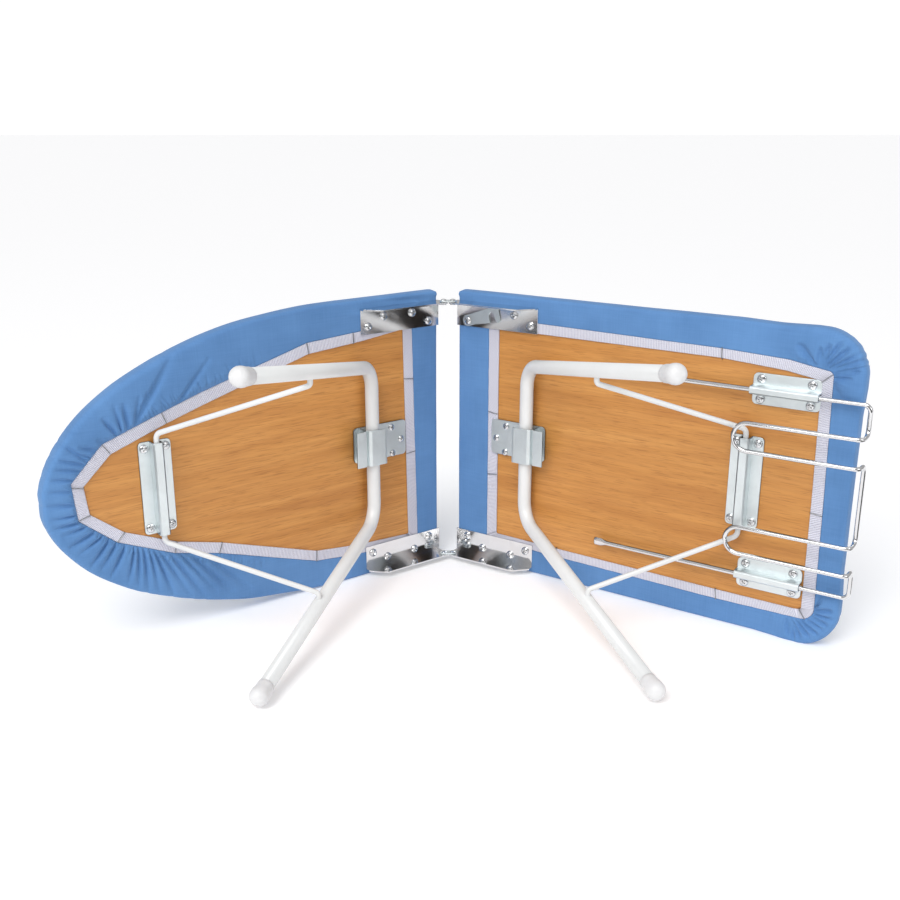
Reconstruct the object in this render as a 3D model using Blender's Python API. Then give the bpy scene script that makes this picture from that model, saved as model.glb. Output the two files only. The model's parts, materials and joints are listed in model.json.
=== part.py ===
"""Folding table-top ironing board, standing on its long edge, half folded.

Two halves (a square tail and a pointed nose) hang on two double-pivot hinges.
Each half is laid out in its own frame, in millimetres:
  s  along the board, away from the hinge
  n  out of the underside, where the legs are
  z  across the board, up when it stands on its edge
"""
import math

import bmesh
import bpy
from mathutils import Matrix, Vector

MM = 0.001

# Whole object
HALF_WIDTH = 141.0
FOLD = math.radians(35.4)
SHIFT_X = 2.843
SHIFT_Y = 153.962
GAP = 0.3

# Layers of one half, as heights n
COVER = 1.2
HEM_TOP = -1.7
HEM_BOTTOM = -2.9
BOARD_TOP = -3.2
BOARD_BOTTOM = -13.2
PAD_TOP = -13.5
PAD_BOTTOM = -17.5
FACE_INNER = -17.8
FACE_OUTER = -19.0
TAIL_LENGTH = 397.0
TAIL_CORNER = 35.0
HINGE_EDGE = 0.6
HINGE_CORNER = 6.0

# Hinge
PIVOT_S = 4.5
PIVOT_N = 14.5
BRACKET_LENGTH = 93.0
BRACKET_FOLD_Z = 135.4
BRACKET_EDGE_Z = 110.0
BRACKET_RISE = 18.7
BRACKET_CHAMFER = 13.7
STEEL = 1.4
EAR_RADIUS = 4.2
LINK_STEEL = 1.5
RIVET_RADIUS = 1.6

# Screws
SCREW_HEAD = 4.1
SCREW_HEAD_HEIGHT = 1.8
SCREW_SHANK = 1.6
SCREW_BORE = 1.95
SCREW_DEPTH = 9.0
BRACKET_SCREWS = [(14.0, 116.0), (33.0, 126.0), (67.0, 126.0), (85.0, 117.5)]
CATCH_SCREWS = [(60.0, 12.5), (48.5, -1.5), (59.0, -15.0)]

# Leg, strut and catch
TUBE = 7.0
TUBE_WALL = 1.0
CROSSBAR_S = 87.0
CROSSBAR_N = 7.5
LEG_ANGLE = math.radians(36.6)
LEG_JOINT = 145.0
LEG_LENGTH = 268.0
LEG_BEND = 25.0
LEG_Z_START = 79.0
LEG_Z_FOOT = 130.2
CAP_BULB = 10.5
CAP_SLEEVE = 8.4
STRUT_S = 306.0
STRUT_N = 4.5
STRUT_WIRE = 3.0
STRUT_BASE_Z = 50.0
STRUT_BORE = 3.3
CHANNEL_HALF_Z = 42.5
CHANNEL_HALF_S = 14.75
CATCH_START = 42.5
CATCH_END = 104.0
CATCH_HALF_Z = 18.0
CATCH_TOP = -0.1
STRAP_START = 77.0
STRAP_INNER = 15.9
LEVER_S = 97.75
TAB_END = 110.0

# Iron rest
ROD = 2.0
ROD_Z = 86.0
ROD_N = 5.0
ROD_START = 165.0
REST_END = 407.0
REST_BACK = 300.0
REST_N = 21.0
REST_OUTER_Z = 60.0
REST_INNER_Z = 35.0
REST_BEND = 6.0
GUIDE_START = 306.5
GUIDE_END = 365.0
GUIDE_HALF_Z = 14.0

# Hook latch
HOOK_REACH = 28.6
HOOK_TILT = math.radians(16.0)
HOOK_STEEL = 1.2


# ---------------------------------------------------------------- materials
def material(name, colour, metallic, roughness):
    mat = bpy.data.materials.new(name)
    mat.use_nodes = True
    shader = mat.node_tree.nodes["Principled BSDF"]
    shader.inputs["Base Color"].default_value = (*colour, 1.0)
    shader.inputs["Metallic"].default_value = metallic
    shader.inputs["Roughness"].default_value = roughness
    mat.diffuse_color = (*colour, 1.0)
    return mat


# ------------------------------------------------------------------- frames
def empty(name, parent, location, angle=0.0):
    obj = bpy.data.objects.new(name, None)
    bpy.context.scene.collection.objects.link(obj)
    obj.parent = parent
    obj.location = location
    obj.rotation_euler = (0.0, 0.0, angle)
    obj.empty_display_size = 0.02
    return obj


class Half:
    """One half of the board: side is +1 for the tail and -1 for the nose."""

    def __init__(self, name, side, root):
        self.name = name
        self.side = side
        reach = PIVOT_S - PIVOT_S * math.cos(FOLD) + PIVOT_N * math.sin(FOLD)
        location = (side * reach * MM, 0.0, 0.0)
        self.frame = empty(name + "_half", root, location, -side * FOLD)

    def local(self, s, n, z):
        return Vector((self.side * s, -n, z)) * MM


def body(name, verts, faces, half, mat, pivot=(0.0, 0.0, 0.0), parent=None):
    """Makes one object from points (s, n, z), with its origin at the pivot."""
    origin = half.local(*pivot)
    mesh = bpy.data.meshes.new(name)
    mesh.from_pydata([half.local(*v) - origin for v in verts], [], faces)
    made = bmesh.new()
    made.from_mesh(mesh)
    bmesh.ops.recalc_face_normals(made, faces=made.faces)
    made.to_mesh(mesh)
    made.free()
    mesh.polygons.foreach_set("use_smooth", [True] * len(mesh.polygons))
    mesh.set_sharp_from_angle(angle=math.radians(35.0))
    obj = bpy.data.objects.new(name, mesh)
    bpy.context.scene.collection.objects.link(obj)
    obj.parent = parent or half.frame
    obj.location = (0.0, 0.0, 0.0) if parent else origin
    if mat:
        mesh.materials.append(mat)
    return obj


def guide(name, verts, faces, half):
    """A hidden cutting body."""
    obj = body(name, verts, faces, half, None)
    obj.hide_render = True
    obj.display_type = "WIRE"
    return obj


def cut(obj, cutter, operation="DIFFERENCE"):
    mod = obj.modifiers.new(cutter.name, "BOOLEAN")
    mod.operation = operation
    mod.solver = "EXACT"
    mod.object = cutter


def join(parts):
    """Merges several (verts, faces) shells into one list."""
    verts = []
    faces = []
    for part_verts, part_faces in parts:
        base = len(verts)
        verts.extend(part_verts)
        faces.extend([tuple(i + base for i in face) for face in part_faces])
    return verts, faces


# ------------------------------------------------------------------- shapes
def band(first, second, count):
    """Quads between two closed rings of the same length."""
    return [
        (first + i, first + (i + 1) % count, second + (i + 1) % count, second + i)
        for i in range(count)
    ]


def loft(rings, closed=False):
    """A solid through closed rings: capped at both ends, or joined into a ring."""
    count = len(rings[0])
    verts = [point for ring in rings for point in ring]
    faces = []
    for k in range(len(rings) - 1):
        faces.extend(band(k * count, (k + 1) * count, count))
    last = (len(rings) - 1) * count
    if closed:
        faces.extend(band(last, 0, count))
    else:
        faces.append(tuple(range(count)))
        faces.append(tuple(range(last, last + count)))
    return verts, faces


def prism_z(profile, low, high):
    """A profile of (s, n) points drawn along z."""
    return loft([[(s, n, z) for s, n in profile] for z in (low, high)])


def prism_s(profile, low, high):
    """A profile of (z, n) points drawn along s."""
    return loft([[(s, n, z) for z, n in profile] for s in (low, high)])


def prism_n(outline, low, high):
    """An outline of (s, z) points drawn along n."""
    return loft([[(s, n, z) for s, z in outline] for n in (low, high)])


def arc(centre, radius, start, end, steps):
    """Points on an arc, angles in degrees."""
    points = []
    for k in range(steps + 1):
        angle = math.radians(start + (end - start) * k / steps)
        points.append((centre[0] + radius * math.cos(angle), centre[1] + radius * math.sin(angle)))
    return points


def rounded_rectangle(low, high, radius, steps=3):
    (s0, z0), (s1, z1) = low, high
    corners = [(s1 - radius, z1 - radius), (s0 + radius, z1 - radius)]
    corners += [(s0 + radius, z0 + radius), (s1 - radius, z0 + radius)]
    outline = []
    for k, centre in enumerate(corners):
        outline.extend(arc(centre, radius, 90.0 * k, 90.0 * k + 90.0, steps))
    return outline


def lathe(profile, centre, axis, sides):
    """A turned solid: profile holds (radius, height) from tip to tip."""
    s0, n0, z0 = centre
    rings = []
    for radius, height in profile[1:-1]:
        ring = []
        for k in range(sides):
            angle = 2.0 * math.pi * k / sides
            a = radius * math.cos(angle)
            b = radius * math.sin(angle)
            if axis == "n":
                ring.append((s0 + a, n0 + height, z0 + b))
            else:
                ring.append((s0 + a, n0 + b, z0 + height))
        rings.append(ring)
    verts, faces = loft(rings)
    faces = faces[:-2]
    last = (len(rings) - 1) * sides
    for height, ring_start in ((profile[0][1], 0), (profile[-1][1], last)):
        tip = len(verts)
        verts.append((s0, n0 + height, z0) if axis == "n" else (s0, n0, z0 + height))
        for k in range(sides):
            faces.append((ring_start + k, ring_start + (k + 1) % sides, tip))
    return verts, faces


def fillet(points, radii, steps):
    """Rounds the corners of an open path."""
    path = [Vector(points[0])]
    for k in range(1, len(points) - 1):
        corner = Vector(points[k])
        before = (Vector(points[k - 1]) - corner).normalized()
        after = (Vector(points[k + 1]) - corner).normalized()
        half_angle = before.angle(after) / 2.0
        setback = radii[k - 1] / math.tan(half_angle)
        middle = corner + (before + after).normalized() * radii[k - 1] / math.sin(half_angle)
        start = corner + before * setback - middle
        end = corner + after * setback - middle
        turn = start.angle(end)
        for i in range(steps + 1):
            t = i / steps
            weight_a = math.sin((1.0 - t) * turn) / math.sin(turn)
            weight_b = math.sin(t * turn) / math.sin(turn)
            path.append(middle + start * weight_a + end * weight_b)
    path.append(Vector(points[-1]))
    return path


def sweep(path, radius, sides, bore=None, flat=None):
    """A wire or tube along a path; bore hollows it, flat squeezes both ends."""
    tangents = []
    for k, point in enumerate(path):
        before = path[max(k - 1, 0)]
        after = path[min(k + 1, len(path) - 1)]
        tangents.append((after - before).normalized())
    side = tangents[0].orthogonal().normalized()
    frames = []
    for k, tangent in enumerate(tangents):
        if k:
            side = tangents[k - 1].rotation_difference(tangent) @ side
            side = (side - tangent * side.dot(tangent)).normalized()
        frames.append((side.copy(), tangent.cross(side)))

    def ring(k, size):
        across, up = frames[k]
        points = []
        for i in range(sides):
            angle = 2.0 * math.pi * i / sides
            offset = across * math.cos(angle) * size + up * math.sin(angle) * size
            if flat and (k < 2 or k > len(path) - 3):
                offset = Vector((offset.x, offset.y * flat[0], offset.z * flat[1]))
            points.append(tuple(path[k] + offset))
        return points

    rings = [ring(k, radius) for k in range(len(path))]
    if not bore:
        return loft(rings)
    rings += [ring(k, bore) for k in reversed(range(len(path)))]
    return loft(rings, closed=True)


def spread(start, end, steps):
    """Points from start to end, the end left out."""
    return [
        tuple(a + (b - a) * k / steps for a, b in zip(start, end))
        for k in range(steps)
    ]


def smooth_curve(points, steps):
    """A Catmull-Rom curve through points, the last left out."""
    curve = []
    for k in range(len(points) - 1):
        p0 = Vector(points[max(k - 1, 0)])
        p1 = Vector(points[k])
        p2 = Vector(points[k + 1])
        p3 = Vector(points[min(k + 2, len(points) - 1)])
        for i in range(steps):
            t = i / steps
            linear = (p2 - p0) * t
            square = (2.0 * p0 - 5.0 * p1 + 4.0 * p2 - p3) * t * t
            cube = (3.0 * p1 - p0 - 3.0 * p2 + p3) * t * t * t
            curve.append(tuple((2.0 * p1 + linear + square + cube) * 0.5))
    return curve


def mirrored(lower):
    """Closes a lower outline, hinge to tip, with its mirror image and the hinge edge."""
    upper = [(s, -z) for s, z in reversed(lower)]
    return lower + upper


# ----------------------------------------------------------------- outlines
def tail_outlines():
    """Outer edge, hem edge and inner edge of the elastic, point for point."""
    outer = arc((HINGE_EDGE + HINGE_CORNER, HINGE_CORNER - HALF_WIDTH), HINGE_CORNER, 180, 270, 4)
    corner = (TAIL_LENGTH - TAIL_CORNER, TAIL_CORNER - HALF_WIDTH)
    outer += spread((60.0, -HALF_WIDTH), (corner[0], -HALF_WIDTH), 5)
    outer += arc(corner, TAIL_CORNER, 270, 360, 8)
    outer += [(TAIL_LENGTH, -60.0), (TAIL_LENGTH, -20.0)]
    hem = arc((42.0, -117.0), 2.5, 180, 270, 4)
    hem += spread((90.0, -119.0), (364.0, -115.0), 5)
    hem += arc((366.0, -104.0), 11.0, 270, 360, 8)
    hem += [(377.0, -58.0), (377.0, -19.0)]
    inner = arc((52.0, -108.0), 0.6, 180, 270, 4)
    inner += spread((96.0, -108.3), (360.0, -104.3), 5)
    inner += arc((364.5, -102.2), 2.0, 270, 360, 8)
    inner += [(366.5, -56.0), (366.5, -18.0)]
    return [mirrored(line) for line in (outer, hem, inner)]


def nose_outlines():
    keys = [(60.0, 141.0), (112.0, 141.0), (152.0, 139.6), (193.0, 135.2), (230.0, 129.0)]
    keys += [(270.0, 117.5), (303.0, 104.8), (338.0, 87.5), (368.0, 66.0), (390.0, 41.0)]
    keys += [(401.5, 18.0), (405.0, 0.0)]
    hem_keys = [(60.0, 108.5), (100.0, 113.5), (154.0, 109.0), (180.0, 101.0), (206.0, 93.0)]
    hem_keys += [(258.0, 77.0), (280.0, 70.5), (300.0, 64.5), (351.0, 45.0), (370.0, 28.0)]
    hem_keys += [(381.0, 13.0), (382.5, 0.0)]
    inner_keys = [(62.0, 97.5), (100.0, 102.5), (152.0, 98.0), (177.0, 90.5), (203.0, 82.0)]
    inner_keys += [(255.0, 66.0), (277.0, 60.0), (296.0, 54.3), (345.0, 36.5), (361.0, 23.5)]
    inner_keys += [(370.5, 10.5), (372.0, 0.0)]
    outer = arc((HINGE_EDGE + HINGE_CORNER, HINGE_CORNER - HALF_WIDTH), HINGE_CORNER, 180, 270, 4)
    outer += [(s, max(z, -HALF_WIDTH)) for s, z in smooth_curve([(s, -z) for s, z in keys], 2)]
    hem = arc((35.5, -103.5), 2.5, 180, 270, 4)
    hem += [p for a, b in zip(hem_keys, hem_keys[1:]) for p in spread(a, b, 2)]
    inner = arc((45.0, -94.5), 0.6, 180, 270, 4)
    inner += [p for a, b in zip(inner_keys, inner_keys[1:]) for p in spread(a, b, 2)]
    for line in (hem, inner):
        line[5:] = [(s, -abs(z)) for s, z in line[5:]]
    return [mirrored(line) for line in (outer, hem, inner)]


def inset(outline, distance):
    """Moves every point of a closed outline inwards along its own normal."""
    count = len(outline)
    moved = []
    for k, (s, z) in enumerate(outline):
        before = outline[k - 1]
        after = outline[(k + 1) % count]
        ds, dz = after[0] - before[0], after[1] - before[1]
        length = math.hypot(ds, dz)
        moved.append((s - dz / length * distance, z + ds / length * distance))
    return moved


def at_height(outline, n):
    return [(s, n, z) for s, z in outline]


def towards(outline, target, distance):
    """Moves each point of an outline a fixed way towards its partner."""
    moved = []
    for (s, z), (ts, tz) in zip(outline, target):
        length = math.hypot(ts - s, tz - z)
        moved.append((s + (ts - s) * distance / length, z + (tz - z) * distance / length))
    return moved


# --------------------------------------------------------------- soft layers
def build_top(half, outlines, bores, mats):
    outer, hem, inner = outlines
    steps = [(0.0, BOARD_BOTTOM + 1.5), (1.5, BOARD_BOTTOM)]
    board = [at_height(inset(outer, 3.0), BOARD_TOP)]
    board += [at_height(inset(outer, 1.5), BOARD_TOP - 1.5)]
    board += [at_height(inset(outer, 1.5 + d), n) for d, n in steps]
    obj = body(half.name + "_board", *loft(board), half, mats["wood"])
    cut(obj, bores)

    pad = [at_height(inset(outer, 3.2), PAD_TOP), at_height(inset(outer, 4.8), PAD_BOTTOM)]
    body(half.name + "_pad", *loft(pad), half, mats["pad"])

    skin = [(4.5, FACE_OUTER), (1.3, FACE_OUTER + 1.3), (0.0, FACE_OUTER + 4.5)]
    skin += [(0.0, HEM_TOP - 3.0), (0.9, HEM_TOP - 0.9), (3.0, HEM_TOP)]
    lining = [(3.0, HEM_BOTTOM), (1.75, HEM_BOTTOM - 0.5), (COVER, HEM_BOTTOM - 1.8)]
    lining += [(COVER, FACE_INNER + 3.3), (2.2, FACE_INNER + 1.0), (4.5, FACE_INNER)]
    rings = [at_height(inset(outer, d), n) for d, n in skin]
    rings += [at_height(hem, HEM_TOP), at_height(hem, HEM_BOTTOM)]
    rings += [at_height(inset(outer, d), n) for d, n in lining]
    obj = body(half.name + "_cover", *loft(rings), half, mats["cover"])
    cut(obj, bores)

    edge = towards(hem, inner, 0.4)
    rings = [at_height(edge, HEM_TOP - 0.1), at_height(inner, HEM_TOP - 0.1)]
    rings += [at_height(inner, HEM_BOTTOM), at_height(edge, HEM_BOTTOM)]
    obj = body(half.name + "_elastic", *loft(rings, closed=True), half, mats["elastic"])
    cut(obj, bores)


# ------------------------------------------------------------------ hardware
def screw(name, half, s, z, seat, mats):
    """A pan-head screw, its head resting at height seat."""
    low = seat + GAP
    profile = [(0.0, SCREW_HEAD_HEIGHT), (2.4, SCREW_HEAD_HEIGHT - 0.15), (SCREW_HEAD, 0.6)]
    profile += [(SCREW_HEAD, 0.0), (SCREW_SHANK, 0.0), (SCREW_SHANK, -SCREW_DEPTH + 1.5)]
    profile += [(0.0, -SCREW_DEPTH)]
    body(name, *lathe(profile, (s, low, z), "n", 10), half, mats["steel"])


def bracket_screws(half, end):
    """Screw positions on one hinge bracket: the latch takes some of them over."""
    if end < 0:
        return BRACKET_SCREWS
    return BRACKET_SCREWS[2:] if half.side > 0 else BRACKET_SCREWS[1:]


def screw_bores(half):
    holes = [(s, end * z) for end in (1, -1) for s, z in BRACKET_SCREWS]
    holes += CATCH_SCREWS
    parts = []
    for s, z in holes:
        parts.append(prism_n(arc((s, z), SCREW_BORE, 0.0, 324.0, 9), -11.0, 1.0))
    return guide(half.name + "_screw_bores", *join(parts), half)


def hinge_bracket(half, end, bores, pins, mats):
    """An angle: one leg under the board, the other standing out to carry the pivot."""
    fold, edge = BRACKET_FOLD_Z, BRACKET_EDGE_Z
    profile = [(edge, -STEEL), (fold, -STEEL), (fold, BRACKET_RISE), (fold - STEEL, BRACKET_RISE)]
    profile += [(fold - STEEL, 0.0), (edge, 0.0)]
    profile = [(end * z, n) for z, n in profile]
    where = "upper" if end > 0 else "lower"
    name = half.name + "_hinge_bracket_" + where
    obj = body(name, *prism_s(profile, GAP, BRACKET_LENGTH), half, mats["chrome"])

    top = BRACKET_RISE
    side_view = [(GAP, -3.0), (BRACKET_LENGTH, -3.0), (BRACKET_LENGTH, top - BRACKET_CHAMFER)]
    side_view += [(BRACKET_LENGTH - BRACKET_CHAMFER, top)]
    side_view += arc((PIVOT_S, PIVOT_N), EAR_RADIUS, 90.0, 180.0, 4)
    low, high = sorted((end * (edge - 4.0), end * (fold + 4.0)))
    trim = guide(name + "_side_view", *prism_z(side_view, low, high), half)
    cut(obj, trim, "INTERSECT")
    cut(obj, bores)
    cut(obj, pins)
    for k, (s, z) in enumerate(bracket_screws(half, end)):
        screw(f"{half.name}_{where}_screw_{k + 1}", half, s, end * z, 0.0, mats)


def pivot_bores(half):
    parts = []
    for end in (1, -1):
        z = end * (BRACKET_FOLD_Z - STEEL / 2.0)
        circle = arc((PIVOT_S, PIVOT_N), RIVET_RADIUS + 0.25, 0.0, 330.0, 11)
        parts.append(prism_z(circle, z - 3.0, z + 3.0))
    return guide(half.name + "_pivot_bores", *join(parts), half)


def hat(half_width, wall, crown, half_flange):
    """Cross-section of a hat channel, centred, as (across, n)."""
    foot = HEM_BOTTOM
    right = [(half_flange, foot), (half_flange, foot + STEEL), (half_width + wall, foot + STEEL)]
    right += [(half_width + wall, crown - 1.5), (half_width + wall - 1.5, crown)]
    inside = [(half_width - 0.8, crown - wall), (half_width, crown - wall - 0.8)]
    left = [(-a, n) for a, n in reversed(right)]
    under = [(-half_width, foot)] + [(-a, n) for a, n in reversed(inside)]
    return right + left + under + inside + [(half_width, foot)]


def strut_channel(half, mats):
    profile = hat(STRUT_WIRE + 0.5, 1.2, 9.2, CHANNEL_HALF_S)
    profile = [(STRUT_S + a, n) for a, n in profile]
    name = half.name + "_strut_channel"
    verts, faces = prism_z(profile, -CHANNEL_HALF_Z, CHANNEL_HALF_Z)
    obj = body(name, verts, faces, half, mats["zinc"])
    low = (STRUT_S - CHANNEL_HALF_S, -CHANNEL_HALF_Z)
    high = (STRUT_S + CHANNEL_HALF_S, CHANNEL_HALF_Z)
    outline = rounded_rectangle(low, high, 3.5)
    cut(obj, guide(name + "_outline", *prism_n(outline, -5.0, 12.0), half), "INTERSECT")


def rest_guide(half, end, mats):
    profile = [(end * ROD_Z + a, n) for a, n in hat(ROD + 0.5, 1.1, 8.8, GUIDE_HALF_Z)]
    name = half.name + "_rest_guide_" + ("upper" if end > 0 else "lower")
    obj = body(name, *prism_s(profile, GUIDE_START, GUIDE_END), half, mats["zinc"])
    low = (GUIDE_START, end * ROD_Z - GUIDE_HALF_Z)
    high = (GUIDE_END, end * ROD_Z + GUIDE_HALF_Z)
    outline = rounded_rectangle(low, high, 4.0)
    cut(obj, guide(name + "_outline", *prism_n(outline, -5.0, 12.0), half), "INTERSECT")


def catch(half, bores, mats):
    """Base plate under the crossbar, and the sprung strap with its thumb tab."""
    low, high = (CATCH_START, -CATCH_HALF_Z), (CATCH_END, CATCH_HALF_Z)
    plate = prism_n(rounded_rectangle(low, high, 3.5), CATCH_TOP - STEEL, CATCH_TOP)
    obj = body(half.name + "_catch_plate", *plate, half, mats["zinc"])
    cut(obj, bores)
    for k, (s, z) in enumerate(CATCH_SCREWS):
        screw(f"{half.name}_catch_screw_{k + 1}", half, s, z, CATCH_TOP, mats)

    foot = CATCH_TOP + GAP
    outer = STRAP_INNER + 1.5
    profile = [(STRAP_START, STRAP_INNER + 0.4), (STRAP_START + 2.0, STRAP_INNER)]
    profile += [(LEVER_S - 4.5, STRAP_INNER), (LEVER_S - 1.6, STRAP_INNER - 2.0)]
    profile += [(LEVER_S - 0.75, 9.5), (LEVER_S - 0.75, foot), (LEVER_S + 0.75, foot)]
    profile += [(LEVER_S + 0.75, 10.5), (LEVER_S + 2.6, STRAP_INNER - 1.5)]
    profile += [(TAB_END, STRAP_INNER - 1.5), (TAB_END, STRAP_INNER), (LEVER_S + 1.6, STRAP_INNER)]
    profile += [(LEVER_S, 12.8), (LEVER_S - 1.2, STRAP_INNER)]
    profile += [(LEVER_S - 3.8, outer), (STRAP_START + 1.6, outer), (STRAP_START - 0.3, outer - 0.2)]
    pivot = (LEVER_S, foot, 0.0)
    verts, faces = prism_z(profile, -CATCH_HALF_Z, CATCH_HALF_Z)
    body(half.name + "_catch_lever", verts, faces, half, mats["zinc"], pivot)


def leg_point(length, z):
    s = CROSSBAR_S + length * math.cos(LEG_ANGLE)
    n = CROSSBAR_N + length * math.sin(LEG_ANGLE)
    return (s, n, z)


def leg_z(length):
    return LEG_Z_START + (LEG_Z_FOOT - LEG_Z_START) * length / LEG_LENGTH


def leg_and_strut(half, mats):
    joint_s, joint_n, _ = leg_point(LEG_JOINT, 0.0)
    hinge = (STRUT_S, STRUT_N, 0.0)
    strut_pivot = empty(half.name + "_strut_pivot", half.frame, half.local(*hinge))
    reach = half.local(joint_s, joint_n, 0.0) - half.local(*hinge)
    leg_pivot = empty(half.name + "_leg_pivot", strut_pivot, reach)

    joint_z = leg_z(LEG_JOINT)
    turn_z = joint_z - TUBE - 5.0
    corners = [(joint_s, joint_n, joint_z - 0.5), (joint_s, joint_n, turn_z)]
    corners += [(STRUT_S, STRUT_N, STRUT_BASE_Z)]
    corners += [(s, n, -z) for s, n, z in reversed(corners)]
    path = fillet(corners, [4.0, 6.0, 6.0, 4.0], 4)
    name = half.name + "_strut"
    body(name, *sweep(path, STRUT_WIRE, 10), half, mats["paint"], hinge, strut_pivot)

    corners = [leg_point(LEG_LENGTH, LEG_Z_FOOT), leg_point(0.0, LEG_Z_START)]
    corners += [(s, n, -z) for s, n, z in reversed(corners)]
    path = fillet(corners, [LEG_BEND, LEG_BEND], 6)
    tube = sweep(path, TUBE, 14, TUBE - TUBE_WALL)
    pivot = (joint_s, joint_n, 0.0)
    leg = body(half.name + "_leg", *tube, half, mats["paint"], pivot, leg_pivot)
    circle = arc((joint_s, joint_n), STRUT_BORE, 0.0, 324.0, 9)
    inner = joint_z + 1.0
    bores = join([prism_z(circle, joint_z - 16.0, inner), prism_z(circle, -inner, 16.0 - joint_z)])
    cut(leg, guide(half.name + "_strut_bores", *bores, half))

    for end in (1, -1):
        foot_cap(half, end, pivot, leg_pivot, mats)


def foot_cap(half, end, pivot, parent, mats):
    """A bulbous plastic cap: a sleeve over the tube, closed by a round foot."""
    start = Vector(leg_point(0.0, end * LEG_Z_START))
    foot = Vector(leg_point(LEG_LENGTH, end * LEG_Z_FOOT))
    along = (foot - start).normalized()
    inner = TUBE + GAP
    profile = [(inner, GAP), (inner, -13.0), (CAP_SLEEVE, -13.0), (CAP_SLEEVE + 0.3, -9.0)]
    profile += [(CAP_BULB, -4.0), (CAP_BULB, 1.5), (9.0, 5.5), (6.0, 8.3), (2.2, 9.4)]
    across = along.orthogonal().normalized()
    up = along.cross(across)
    rings = []
    for radius, height in profile:
        ring = []
        for k in range(14):
            angle = 2.0 * math.pi * k / 14
            offset = across * math.cos(angle) + up * math.sin(angle)
            ring.append(tuple(foot + along * height + offset * radius))
        rings.append(ring)
    name = half.name + "_foot_cap_" + ("upper" if end > 0 else "lower")
    body(name, *loft(rings), half, mats["plastic"], pivot, parent)


def iron_rest(half, mats):
    """One bent wire: two sliding rods, three lipped ends and two return bends."""
    back = (REST_OUTER_Z - REST_INNER_Z) / 2.0 - 0.05
    upper = [(ROD_START, ROD_N, ROD_Z), (REST_END, ROD_N, ROD_Z)]
    upper += [(REST_END, ROD_N, REST_OUTER_Z), (REST_END, REST_N, REST_OUTER_Z)]
    upper += [(REST_BACK, REST_N, REST_OUTER_Z), (REST_BACK, REST_N, REST_INNER_Z)]
    upper += [(REST_END, REST_N, REST_INNER_Z), (REST_END, ROD_N, REST_INNER_Z)]
    radii = [REST_BEND, REST_BEND, REST_BEND, back, back, REST_BEND, REST_BEND]
    corners = upper + [(s, n, -z) for s, n, z in reversed(upper)]
    path = fillet(corners, radii + radii[::-1], 4)
    ends = [(path[0] + Vector((step, 0.0, 0.0)), path[-1] + Vector((step, 0.0, 0.0)))
            for step in (9.0, 13.0)]
    path[1:1] = [pair[0] for pair in ends]
    path[-1:-1] = [pair[1] for pair in reversed(ends)]
    wire = sweep(path, ROD, 8, flat=(0.55, 1.9))
    body(half.name + "_iron_rest", *wire, half, mats["chrome"], (ROD_START, ROD_N, 0.0))


def hook_latch(half, mats):
    """Hook on the tail bracket that swings over to the stud on the nose bracket."""
    pivot_s, pivot_z = BRACKET_SCREWS[0]
    shape = arc((0.0, 0.0), 5.8, 110.0, 290.0, 8)
    shape += [(8.0, -5.4), (HOOK_REACH - 3.3, -7.4), (HOOK_REACH - 3.2, 0.0)]
    shape += arc((HOOK_REACH, 0.0), 3.1, 180.0, 0.0, 6)[1:-1]
    shape += [(HOOK_REACH + 3.2, 0.0), (HOOK_REACH + 3.6, -7.0), (HOOK_REACH + 6.0, -9.0)]
    shape += [(HOOK_REACH + 9.0, -7.0), (HOOK_REACH + 9.6, 4.0), (HOOK_REACH + 7.0, 6.6)]
    shape += [(HOOK_REACH - 2.0, 7.2)]
    turn = Matrix.Rotation(HOOK_TILT, 2)
    outline = []
    for point in shape:
        s, z = turn @ Vector(point)
        outline.append((pivot_s + s, pivot_z + z))
    base = GAP
    plate = prism_n(outline, base, base + HOOK_STEEL)
    pivot = (pivot_s, base, pivot_z)
    obj = body(half.name + "_hook_latch", *plate, half, mats["zinc"], pivot)
    circle = arc((pivot_s, pivot_z), 2.8, 0.0, 330.0, 11)
    cut(obj, guide(half.name + "_hook_bore", *prism_n(circle, -1.0, 4.0), half))


def headed_pin(name, half, mats):
    """The hook's pivot rivet, and the stud it catches: the same turned pin."""
    s, z = BRACKET_SCREWS[0]
    top = 2 * GAP + HOOK_STEEL
    profile = [(0.0, top + 1.6), (2.6, top + 1.4), (4.2, top + 0.4), (4.2, top), (2.4, top)]
    profile += [(2.4, GAP), (SCREW_SHANK, GAP), (SCREW_SHANK, -7.0), (0.0, -7.0)]
    body(name, *lathe(profile, (s, 0.0, z), "n", 12), half, mats["steel"])


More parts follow.
